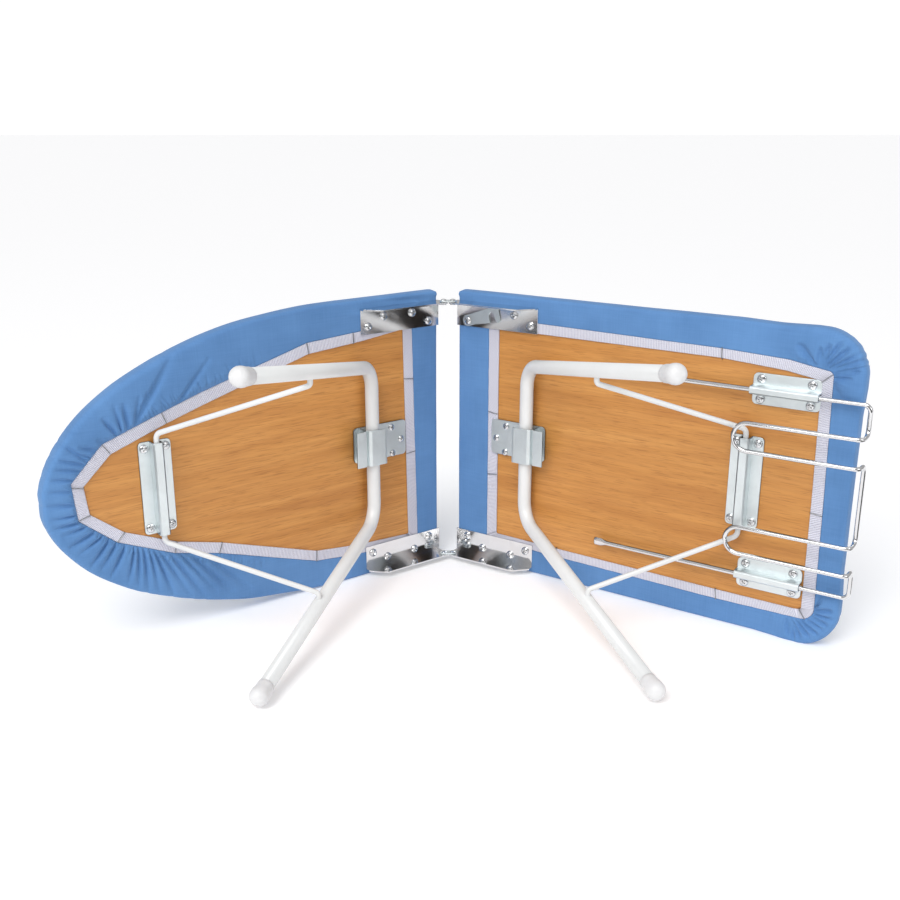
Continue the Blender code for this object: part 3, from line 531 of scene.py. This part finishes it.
def cover(half):
    """Fitted cotton cover: hem band with gathers, rolled edges, crowned face."""
    out = OUTLINES[half]
    rng = np.random.default_rng(5 if half == "tail" else 11)
    total = out.length
    probe = np.linspace(0, total, 4000, endpoint=False)
    place = out.read(0, probe)
    if half == "tail":
        dense = np.clip((place[:, 0] - 325) / 30, 0, 1) * np.clip((np.abs(place[:, 1]) - 70) / 25, 0, 1)
    else:
        dense = np.clip((place[:, 0] - 190) / 70, 0, 1)
    weight = 0.34 + 1.0 * dense
    cumulative = np.concatenate([[0], np.cumsum(weight) * total / 4000])
    count = int(cumulative[-1])
    x = np.interp(np.linspace(0, cumulative[-1], count, endpoint=False), cumulative, np.append(probe, total))
    mask = np.interp(x, probe, dense)

    puckers = []
    spot = 0.0
    while spot < total - 4:
        local = np.interp(spot, probe, dense)
        spot += rng.uniform(2.6, 5.5) if local > 0.05 else rng.uniform(14, 45)
        reach, slant = rng.uniform(5, 13), rng.uniform(-0.4, 0.4)
        puckers.append((spot, reach, slant, rng.uniform(0.2, 0.5) * max(local, 0.5)))
    phases = rng.uniform(0, 2 * np.pi, 8)

    hem, inward = out.read(1, x), out.normal(x)
    outer = out.read(0, x)
    shoulder = outer + inward * 3.0
    low, high = (130, 270) if half == "tail" else (120, 255)
    heart = np.stack([np.clip(outer[:, 0], low, high), np.zeros(count)], -1)
    corner = total - 2 * 141.0
    folds = [((corner - 10, 14), (corner - 34, 26), 2.2, 1.3)]
    folds += [((corner - 12, 24), (corner - 75, 31), 3.0, -0.9)]
    folds += [((corner - 45, 12), (corner - 120, 22), 4.0, 0.8)]
    folds += [((corner - 8, 31), (corner - 60, 36), 2.5, 0.8)]
    if half == "tail":
        folds = [((corner - 9, 13), (corner - 22, 22), 2.2, 0.9)]
        folds += [((corner - 20, 26), (corner - 110, 22), 4.0, 0.7)]
    rows, uvs = [], []

    def add(flat, n, lift, push, travel, wall=False):
        """One ring: lift raises it off the underside, push moves it outwards."""
        rise = min(travel / 4.0, 1.0) * 0.85 + 0.15
        fall = np.clip(1 - (travel - 16) / 46, 0, 1)
        depth = crease_depth(half, flat) * fall if not wall else np.zeros(count)
        if wall:
            depth = crease_depth(half, outer + inward * 2.0) * fall * 0.6
        for spot, reach, slant, strength in puckers:
            gap = np.mod(x - spot - slant * travel + total / 2, total) - total / 2
            fade = np.clip(1 - travel / reach, 0, 1)
            if fade > 0:
                depth = np.maximum(depth, strength * fade * np.exp(-np.abs(gap) / (0.8 + 0.05 * travel)))
        sway = zip((9, 17, 31, 53), phases, (0.16, 0.22, 0.3, 0.3))
        drift = sum(np.sin(x / scale + phase + travel * 0.03) * size for scale, phase, size in sway)
        gathered = mask * rise * fall * (3.0 + drift)
        height = gathered + 0.25 * drift * (1 - mask) - CREASE_DEPTH[half] * depth * rise
        height = np.maximum(height, -0.15)
        for start, end, width, size in folds:
            height = height + ridge(x, travel, start, end, width) * size
        moved = flat - inward * (height * push)[:, None]
        rows.append(np.stack([moved[:, 0], n + height * lift, moved[:, 1]], -1))
        uvs.append(np.stack([x, np.full(count, n)], -1) if wall else flat.copy())

    band = float(np.median(np.linalg.norm(shoulder - hem, axis=1)))
    rows.append(np.stack([hem[:, 0], np.full(count, -2.9), hem[:, 1]], -1))
    uvs.append(hem.copy())
    for k in np.linspace(0, 1, 26):
        add(hem + (shoulder - hem) * k, HEM_TOP + 0.35 * math.sin(math.pi * k), 1.0, 0.0, float(k * band))
    for k in range(1, 6):
        a = math.radians(18 * k)
        flat = outer + inward * (3 - 3 * math.sin(a))
        add(flat, HEM_TOP - 3 + 3 * math.cos(a), math.cos(a), math.sin(a), band + 4.7 * k / 5)
    for k in range(1, 9):
        bulge = 0.5 * math.sin(math.pi * k / 8)
        add(outer - inward * bulge, -4.7 - 10.8 * k / 8, 0.0, 1.0, band + 4.7 + 10.8 * k / 8, wall=True)
    for k in range(1, 7):
        a = math.radians(15 * k)
        flat = outer + inward * (3.5 - 3.5 * math.cos(a))
        travel = band + 16 + 5.5 * k / 6
        add(flat, -15.5 - 3.5 * math.sin(a), -math.sin(a) * 0.3, math.cos(a), travel, wall=True)
        uvs[-1] = flat.copy()
    rim = outer + inward * 3.5
    for k in np.linspace(0, 1, 26)[1:]:
        flat = rim + (heart - rim) * k
        crown = 1.3 * (1 - (1 - min(k * 2.2, 1)) ** 2)
        wave = 0.18 * np.sin(flat[:, 0] / 23 + phases[4]) * np.sin(flat[:, 1] / 19 + phases[5])
        rows.append(np.stack([flat[:, 0], -19.0 - crown - wave * (1 - (1 - k) ** 4), flat[:, 1]], -1))
        uvs.append(flat.copy())

    points = np.vstack(rows)
    points[:, 2] = np.maximum(points[:, 2], 0.05 - HALF_WIDTH)
    faces = []
    for r in range(len(rows) - 1):
        a = r * count + np.arange(count)
        b = r * count + (np.arange(count) + 1) % count
        faces.append(np.stack([a, b, b + count, a + count], -1))
    name = half + "_cotton_cover"
    obj = new_object(name, at(half, points), np.vstack(faces), COTTON, None, uvs=np.vstack(uvs))
    made = bmesh.new()
    made.from_mesh(obj.data)
    bmesh.ops.remove_doubles(made, verts=made.verts, dist=0.00005)
    bmesh.ops.recalc_face_normals(made, faces=made.faces)
    made.to_mesh(obj.data)
    made.free()
    obj.data.polygons.foreach_set("use_smooth", [True] * len(obj.data.polygons))
    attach(obj, half)
    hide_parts(half + "_cover")
    flat = {"tail": (0.367, 0.482), "nose": (0.367, 0.475)}[half]
    elastic(half)


def elastic(half):
    """Ribbed band between the hem and the bare board, a little wavy, with sewn edges."""
    out = OUTLINES[half]
    count = int(out.length / 2.0)
    x = np.linspace(0, out.length, count, endpoint=False)
    hem, inner = out.read(1, x), out.read(2, x)
    steps = np.linalg.norm(np.roll(hem, -1, 0) - hem, axis=1)
    along = np.concatenate([[0], np.cumsum(steps)[:-1]])
    profile = [(0.03, -2.9), (0.02, -1.95), (0.05, -1.72), (0.12, -1.70), (0.5, -1.62)]
    profile += [(0.88, -1.70), (0.95, -1.72), (0.985, -1.95), (0.98, -2.9)]
    rows, uvs = [], []
    for k, n in profile:
        wave = 0.10 * np.sin(along / 3.1) + 0.08 * np.sin(along / 7.3 + 1.0)
        flat = hem + (inner - hem) * k
        lift = wave if n > -2.0 else 0.0 * wave
        rows.append(np.stack([flat[:, 0], n + np.maximum(lift, -0.1), flat[:, 1]], -1))
        uvs.append(np.stack([along, np.full(count, k * 11.0)], -1))
    rings = len(rows)
    faces = []
    for r in range(rings):
        a = r * count + np.arange(count)
        b = r * count + (np.arange(count) + 1) % count
        up = ((r + 1) % rings - r) * count
        faces.append(np.stack([a, b, b + up, a + up], -1))
    verts = at(half, np.vstack(rows))
    obj = new_object(half + "_elastic_band", verts, np.vstack(faces), ELASTIC, None, uvs=np.vstack(uvs))
    outward(obj.data)
    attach(obj, half)
    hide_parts(half + "_elastic")
    return obj


def felt_pad(half):
    out = OUTLINES[half]
    x = np.linspace(0, out.length, 260, endpoint=False)
    outer, inward = out.read(0, x), out.normal(x)
    rows = []
    for inset, n in ((3.4, -13.5), (3.2, -14.2), (3.5, -15.8), (4.2, -16.8), (5.4, -17.5), (9.0, -17.9)):
        flat = outer + inward * inset
        rows.append(np.stack([flat[:, 0], np.full(len(x), n), flat[:, 1]], -1))
    count = len(x)
    faces = [tuple(range(count)), tuple(range((len(rows) - 1) * count, len(rows) * count))]
    for r in range(len(rows) - 1):
        for i in range(count):
            j = (i + 1) % count
            faces.append((r * count + i, r * count + j, (r + 1) * count + j, (r + 1) * count + i))
    obj = new_object(half + "_felt_pad", at(half, np.vstack(rows)), faces, FELT, None)
    outward(obj.data)
    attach(obj, half)
    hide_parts(half + "_pad")


# ------------------------------------------------------------------ swept parts
def fillet(points, radii, steps):
    path = [Vector(points[0])]
    for k in range(1, len(points) - 1):
        corner = Vector(points[k])
        before = (Vector(points[k - 1]) - corner).normalized()
        after = (Vector(points[k + 1]) - corner).normalized()
        half_angle = before.angle(after) / 2
        reach = radii[k - 1] / math.tan(half_angle)
        middle = corner + (before + after).normalized() * radii[k - 1] / math.sin(half_angle)
        start, end = corner + before * reach - middle, corner + after * reach - middle
        turn = start.angle(end)
        for i in range(steps + 1):
            t = i / steps
            blend = start * math.sin((1 - t) * turn) + end * math.sin(t * turn)
            path.append(middle + blend / math.sin(turn))
    path.append(Vector(points[-1]))
    return path


def sweep(path, radius, sides, flatten=None):
    """Rings of (s, n, z) points round a path, closed at both ends."""
    tangents = []
    for k in range(len(path)):
        ahead, behind = path[min(k + 1, len(path) - 1)], path[max(k - 1, 0)]
        tangents.append((ahead - behind).normalized())
    side = tangents[0].orthogonal().normalized()
    verts = []
    for k, tangent in enumerate(tangents):
        if k:
            side = tangents[k - 1].rotation_difference(tangent) @ side
            side = (side - tangent * side.dot(tangent)).normalized()
        up = tangent.cross(side)
        for i in range(sides):
            angle = 2 * math.pi * i / sides
            offset = (side * math.cos(angle) + up * math.sin(angle)) * radius
            if flatten and k in flatten:
                n, z, size = flatten[k]
                offset = Vector((offset.x, offset.y * n, offset.z * z)) * size
            verts.append(tuple(path[k] + offset))
    return verts, ring_faces(len(path), sides)


def ring_faces(rings, sides):
    faces = [tuple(range(sides)), tuple(range((rings - 1) * sides, rings * sides))]
    for r in range(rings - 1):
        for i in range(sides):
            j = (i + 1) % sides
            faces.append((r * sides + i, r * sides + j, (r + 1) * sides + j, (r + 1) * sides + i))
    return faces


def swept(name, half, bodyname, node, shape, mat):
    obj = new_object(name, at(half, shape[0]), shape[1], mat, None)
    outward(obj.data)
    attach(obj, bodyname)
    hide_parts(node)
    return obj


TUBE, STRUT_WIRE, ROD = 6.6, 2.4, 2.0
LEG_ANGLE = math.radians(36.6)
LEG_JOINT, LEG_LENGTH = 145.0, 268.0
LEG_Z = (79.0, 130.2)


def leg_point(length, z):
    return Vector((87 + length * math.cos(LEG_ANGLE), 7.5 + length * math.sin(LEG_ANGLE), z))


def leg_z(length):
    return LEG_Z[0] + (LEG_Z[1] - LEG_Z[0]) * length / LEG_LENGTH


def legs(half):
    corners = [leg_point(LEG_LENGTH, LEG_Z[1]), leg_point(0, LEG_Z[0])]
    corners += [Vector((s, n, -z)) for s, n, z in reversed(corners)]
    path = fillet(corners, [25, 25], 20)
    name = half + "_leg"
    swept(half + "_tube_leg", half, name, name, sweep(path, TUBE, 32), PAINT)

    joint = leg_point(LEG_JOINT, 0)
    high = leg_z(LEG_JOINT)
    corners = [(joint.x, joint.y, high - 0.5), (joint.x, joint.y, high - TUBE - 5), (306, 4.5, 50)]
    corners += [(s, n, -z) for s, n, z in reversed(corners)]
    path = fillet(corners, [4, 6, 6, 4], 10)
    name = half + "_strut"
    swept(name + "_wire", half, name, name, sweep(path, STRUT_WIRE, 20), PAINT)

    profile = [(6.7, 0.3), (6.7, -13), (7.0, -13.2), (7.2, -13.0), (7.3, -10), (7.4, -7.5), (7.8, -5.0)]
    profile += [(8.1, -2.6), (8.2, -0.6), (8.1, 1.3), (7.6, 3.1), (6.7, 4.7), (5.4, 6.0)]
    profile += [(3.9, 6.9), (2.3, 7.4), (0.8, 7.55)]
    for where, end in (("upper", 1), ("lower", -1)):
        foot = leg_point(LEG_LENGTH, end * LEG_Z[1])
        along = (foot - leg_point(0, end * LEG_Z[0])).normalized()
        side = along.orthogonal().normalized()
        up = along.cross(side)
        verts = []
        for radius, height in profile:
            for i in range(36):
                a = 2 * math.pi * i / 36
                verts.append(foot + along * height + (side * math.cos(a) + up * math.sin(a)) * radius)
        shape = (verts, ring_faces(len(profile), 36))
        node = f"{half}_foot_cap_{where}"
        swept(node + "_bulb", half, half + "_leg", node, shape, PLASTIC)


def iron_rest():
    back = 12.45
    upper = [(165, 5, 86), (407, 5, 86), (407, 5, 60), (407, 21, 60), (300, 21, 60)]
    upper += [(300, 21, 35), (407, 21, 35), (407, 5, 35)]
    radii = [6, 6, 6, back, back, 6, 6]
    path = fillet(upper + [(s, n, -z) for s, n, z in reversed(upper)], radii + radii[::-1], 9)
    start, end = path[0], path[-1]
    shifts = (1.2, 7.0, 9.5, 13.0)
    path[1:1] = [start + Vector((d, 0, 0)) for d in shifts]
    path[-1:-1] = [end + Vector((d, 0, 0)) for d in reversed(shifts)]
    shape = {0: (0.55, 1.9, 0.7), 1: (0.55, 1.9, 1), 2: (0.55, 1.9, 1), 3: (0.7, 1.6, 1)}
    last = len(path) - 1
    shape.update({last - k: v for k, v in list(shape.items())})
    made = sweep(path, ROD, 24, shape)
    swept("tail_rest_wire", "tail", "iron_rest", "tail_iron_rest", made, CHROME)


# ----------------------------------------------------------------- sheet metal
def refined(node, mat, width=0.3, segments=2):
    """Stands for a sheet-metal CAD node: the same solid with its edges broken."""
    source = frame["nodes"][node]
    mesh = source.data.copy()
    mesh.name = node + "_finished"
    made = bmesh.new()
    made.from_mesh(mesh)
    bmesh.ops.remove_doubles(made, verts=made.verts, dist=0.00001)
    bmesh.ops.dissolve_limit(made, angle_limit=math.radians(1.0), verts=made.verts, edges=made.edges)
    made.to_mesh(mesh)
    made.free()
    obj = bpy.data.objects.new(node + "_finished", mesh)
    COLLECTION.objects.link(obj)
    bevel = obj.modifiers.new("edges", "BEVEL")
    bevel.width = width / 1000
    bevel.segments = segments
    bevel.limit_method = "ANGLE"
    bevel.angle_limit = math.radians(28)
    bevel.use_clamp_overlap = True
    weighted = obj.modifiers.new("normals", "WEIGHTED_NORMAL")
    weighted.weight = 100
    weighted.keep_sharp = True
    mesh.polygons.foreach_set("use_smooth", [True] * len(mesh.polygons))
    mesh.set_sharp_from_angle(angle=math.radians(28))
    mesh = baked(obj, node + "_finished")
    obj = link(node + "_finished", mesh, mat, source["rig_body"], smooth=False)
    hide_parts(node)
    return obj


def lathe(profile, sides):
    verts = []
    for radius, height in profile:
        for k in range(sides):
            a = 2 * math.pi * k / sides
            verts.append((radius * math.cos(a) / 1000, radius * math.sin(a) / 1000, height / 1000))
    return verts, ring_faces(len(profile), sides)


def turned(name, profile, sides):
    mesh = bpy.data.meshes.new(name)
    verts, faces = lathe(profile, sides)
    mesh.from_pydata(verts, [], faces)
    outward(mesh)
    return mesh


def cross_recess_head():
    """Pan head with a tapered cross recess."""
    profile = [(0.3, 2.32), (1.4, 2.28), (2.5, 2.08), (3.4, 1.68)]
    profile += [(3.95, 1.1), (4.1, 0.55), (4.05, 0.1), (3.9, 0.0)]
    head = bpy.data.objects.new("head", turned("head", profile, 40))
    COLLECTION.objects.link(head)
    for turn in (0, 90):
        verts = []
        for height, length, width in ((0.9, 1.15, 0.28), (3.0, 2.55, 0.52)):
            verts += [(a * length, b * width, height) for a, b in ((-1, -1), (1, -1), (1, 1), (-1, 1))]
        faces = [(0, 1, 2, 3), (4, 5, 6, 7)] + [(i, (i + 1) % 4, 4 + (i + 1) % 4, 4 + i) for i in range(4)]
        mesh = bpy.data.meshes.new("cross")
        spin = Matrix.Rotation(math.radians(turn), 3, "Z")
        mesh.from_pydata([spin @ Vector(v) / 1000 for v in verts], [], faces)
        outward(mesh)
        cutter = bpy.data.objects.new("cross", mesh)
        COLLECTION.objects.link(cutter)
        mod = head.modifiers.new("cross", "BOOLEAN")
        mod.operation, mod.solver, mod.object = "DIFFERENCE", "EXACT", cutter
    mesh = baked(head, "cross_recess_head")
    for cutter in [o for o in bpy.data.objects if o.name.startswith("cross")]:
        bpy.data.objects.remove(cutter)
    mesh.polygons.foreach_set("use_smooth", [True] * len(mesh.polygons))
    mesh.set_sharp_from_angle(angle=math.radians(35))
    return mesh


SCREW_HEAD = cross_recess_head()
SPIN = np.random.default_rng(3)


def fastener(name, half, s, n, z, mesh, bodyname, node=None, mat=None, scale=1.0):
    """A head seated at height n, turned at random about its own axis."""
    obj = bpy.data.objects.new(name, mesh.copy())
    COLLECTION.objects.link(obj)
    obj.data.materials.clear()
    obj.data.materials.append(mat or STEEL)
    spin = Matrix.Rotation(SPIN.uniform(0, math.pi), 4, "Z") @ Matrix.Scale(scale, 4)
    place = Matrix.Translation(Vector(at(half, (s, n, z)))) @ axes(half).to_4x4()
    obj.data.transform(place @ spin)
    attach(obj, bodyname)
    if node:
        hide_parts(node)
    return obj


BRACKET_SCREWS = [(14, 116), (33, 126), (67, 126), (85, 117.5)]


def screws(half):
    for where, end in (("upper", 1), ("lower", -1)):
        spots = BRACKET_SCREWS
        if end > 0:
            spots = BRACKET_SCREWS[2 if half == "tail" else 1:]
        for k, (s, z) in enumerate(spots):
            node = f"{half}_{where}_screw_{k + 1}"
            fastener(node + "_head", half, s, 0.05, end * z, SCREW_HEAD, half, node)
    for k, (s, z) in enumerate([(60, 12.5), (48.5, -1.5), (59, -15)]):
        node = f"{half}_catch_screw_{k + 1}"
        fastener(node + "_head", half, s, -0.05, z, SCREW_HEAD, half, node, scale=0.85)
    spots = [(306 + a, b) for a in (-9.6, 9.6) for b in (-36.5, 36.5)]
    for k, (s, z) in enumerate(spots):
        fastener(f"{half}_channel_screw_{k + 1}", half, s, -1.45, z, SCREW_HEAD, half)
    if half == "tail":
        for where, end in (("upper", 1), ("lower", -1)):
            spots = [(314, 9), (357, 9), (314, -9), (357, -9)]
            for k, (s, z) in enumerate(spots):
                name = f"tail_guide_{where}_screw_{k + 1}"
                fastener(name, half, s, -1.45, end * 86 + z, SCREW_HEAD, half)


def rivets():
    dome = [(0.3, 1.45), (1.5, 1.4), (2.8, 1.15), (3.7, 0.7), (4.15, 0.15)]
    shank = [(4.2, 0.0), (2.4, 0.0), (2.4, -1.5), (1.6, -1.5), (1.6, -7)]
    mesh = turned("rivet_dome", dome + shank, 36)
    mesh.polygons.foreach_set("use_smooth", [True] * len(mesh.polygons))
    mesh.set_sharp_from_angle(angle=math.radians(40))
    for half, node in (("tail", "tail_hook_rivet"), ("nose", "nose_latch_stud")):
        fastener(node + "_turned", half, 14, 1.8, 116, mesh, half, node)


STAPLES = {
    "tail": [(277, 113), (368, 102), (371, -18), (288, -114), (367, -111), (42, 24), (42, -42), (120, -111)],
    "nose": [(348, 42), (295, 60), (376, 13), (374, -15), (343, -39), (294, -60), (251, -71), (150, -105)]
    + [(151, 104), (37, 59), (34, -19), (205, 88), (101, 109)],
}


def staples(half):
    """Flat-crowned staples set across the elastic."""
    out = OUTLINES[half]
    x = np.linspace(0, out.length, 3000)
    middle = (out.read(1, x) + out.read(2, x)) / 2
    for k, spot in enumerate(STAPLES[half]):
        near = int(np.argmin(np.linalg.norm(middle - np.array(spot, float), axis=1)))
        a, b = out.read(1, x[near:near + 1])[0], out.read(2, x[near:near + 1])[0]
        direction = (b - a) / np.linalg.norm(b - a) if spot[0] > 60 else np.array([1.0, 0.0])
        tilt = 0.12 * math.sin(k * 2.3)
        direction = np.array([direction[0] - tilt * direction[1], direction[1] + tilt * direction[0]])
        centre = middle[near]
        ends = [centre - direction * 5.2, centre + direction * 5.2]
        points = [(ends[0][0], -3.4, ends[0][1]), (ends[0][0], -1.15, ends[0][1])]
        points += [(ends[1][0], -1.15, ends[1][1]), (ends[1][0], -3.4, ends[1][1])]
        path = fillet(points, [0.6, 0.6], 4)
        verts, faces = sweep(path, 0.42, 8)
        obj = new_object(f"{half}_staple_{k + 1}", at(half, verts), faces, STAPLE, None)
        outward(obj.data)
        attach(obj, half)


# -------------------------------------------------------------------- building
for half in SIDES:
    felt_pad(half)
    cover(half)
    legs(half)
    screws(half)
    staples(half)
    frame["nodes"][half + "_board"].data.materials.clear()
    frame["nodes"][half + "_board"].data.materials.append(WOOD[half])
    for where in ("upper", "lower"):
        refined(f"{half}_hinge_bracket_{where}", CHROME, 0.35, 3)
    for part in ("strut_channel", "catch_plate", "catch_lever"):
        refined(f"{half}_{part}", ZINC)
iron_rest()
rivets()
for node in ("tail_rest_guide_upper", "tail_rest_guide_lower", "tail_hook_latch"):
    refined(node, ZINC)
for where in ("upper", "lower"):
    refined("hinge_link_" + where, ZINC, 0.25)
    for half in SIDES:
        refined(f"{half}_hinge_rivet_{where}", STEEL, 0.25)


# ---------------------------------------------------------------------- studio
def area(name, location, target, size, power, colour=(1, 1, 1)):
    light = bpy.data.lights.new(name, "AREA")
    light.shape, light.size, light.size_y = "RECTANGLE", size[0], size[1]
    light.energy = power
    light.color = colour
    obj = bpy.data.objects.new(name, light)
    COLLECTION.objects.link(obj)
    obj.location = location
    obj.rotation_euler = (Vector(target) - Vector(location)).to_track_quat("-Z", "Y").to_euler()
    return obj


def card(name, corners, grey):
    """A panel that only reflections see."""
    m = Shade(name, (grey, grey, grey * 1.03), roughness=0.9)
    m.bsdf.inputs["Emission Color"].default_value = (grey, grey, grey, 1)
    m.bsdf.inputs["Emission Strength"].default_value = 0.35
    panel = new_object(name, corners, [(0, 1, 2, 3)], m.mat, None, smooth=False)
    panel.visible_camera = False
    panel.visible_shadow = False
    panel.visible_diffuse = False


def studio():
    scene = bpy.context.scene
    scene.view_settings.view_transform = "Standard"
    scene.view_settings.look = "None"
    world = bpy.data.worlds.new("studio")
    scene.world = world
    world.use_nodes = True
    tree = world.node_tree
    background = tree.nodes["Background"]
    coords = tree.nodes.new("ShaderNodeTexCoord")
    split = tree.nodes.new("ShaderNodeSeparateXYZ")
    ramp = tree.nodes.new("ShaderNodeValToRGB")
    ray = tree.nodes.new("ShaderNodeLightPath")
    mix = tree.nodes.new("ShaderNodeMix")
    mix.data_type = "RGBA"
    tree.links.new(coords.outputs["Generated"], split.inputs[0])
    tree.links.new(split.outputs["Z"], ramp.inputs[0])
    stops = ((0.0, 0.80), (0.30, 0.62), (1.0, 1.0))
    ramp.color_ramp.elements.new(0.5)
    for element, (place, grey) in zip(ramp.color_ramp.elements, stops):
        element.position = place
        element.color = (grey, grey, grey * 1.01, 1)
    tree.links.new(ray.outputs["Is Camera Ray"], mix.inputs[0])
    tree.links.new(ramp.outputs[0], mix.inputs[6])
    mix.inputs[7].default_value = (1.6, 1.6, 1.6, 1)
    tree.links.new(mix.outputs[2], background.inputs[0])
    background.inputs[1].default_value = 0.66

    sun = bpy.data.lights.new("soft_sun", "SUN")
    sun.energy, sun.angle = 1.35, math.radians(32)
    sun_object = bpy.data.objects.new("soft_sun", sun)
    COLLECTION.objects.link(sun_object)
    sun_object.rotation_euler = Vector((0.35, 0.75, -1.0)).to_track_quat("-Z", "Y").to_euler()
    area("key", (-1.0, -1.5, 1.3), (0, 0.0, 0.14), (0.9, 0.9), 9)
    area("fill", (1.2, -1.3, 0.8), (0.05, 0.0, 0.14), (0.8, 0.8), 4)

    low, high, y = 0.0, 0.55, -1.35
    card("front_card", [(-1.6, y, low), (1.6, y, low), (1.6, y, high), (-1.6, y, high)], 0.06)
    z = 0.004
    left = [(-1.3, -0.75, z), (-0.42, -0.75, z), (-0.42, -0.20, z), (-1.3, -0.12, z)]
    right = [(0.42, -0.75, z), (1.3, -0.75, z), (1.3, -0.20, z), (0.42, -0.12, z)]
    card("left_card", left, 0.02)
    card("right_card", right, 0.06)
    # the bright brackets mirror the studio and not the boards behind them
    for half in SIDES:
        frame["nodes"][half + "_board"].visible_glossy = False

    size = 40.0
    corners = [(-size, -size, 0), (size, -size, 0), (size, size, 0), (-size, size, 0)]
    floor = new_object("floor", corners, [(0, 1, 2, 3)], floor_material(), None, smooth=False)

    camera = bpy.data.objects.new("camera", bpy.data.cameras.new("camera"))
    COLLECTION.objects.link(camera)
    camera.location = (-0.025455, -0.90903, 0.447235)
    camera.rotation_euler = (math.pi / 2 - 0.3001, 0, -0.0287)
    camera.data.lens = 42.4
    camera.data.sensor_width = 36
    camera.data.clip_start = 0.01
    scene.camera = camera


def floor_material():
    m = Shade("pale_floor", (0.93, 0.93, 0.935), roughness=0.75)
    m.bsdf.inputs["Specular IOR Level"].default_value = 0.1
    grain = m.noise(m.place(), 240.0, 3.0)
    m.colour(m.ramp(grain, [(0.3, (0.925, 0.925, 0.93)), (0.7, (0.935, 0.935, 0.94))]))
    m.bsdf.inputs["Emission Color"].default_value = (1.0, 1.0, 1.0, 1.0)
    m.bsdf.inputs["Emission Strength"].default_value = 0.16
    return m.mat


studio()
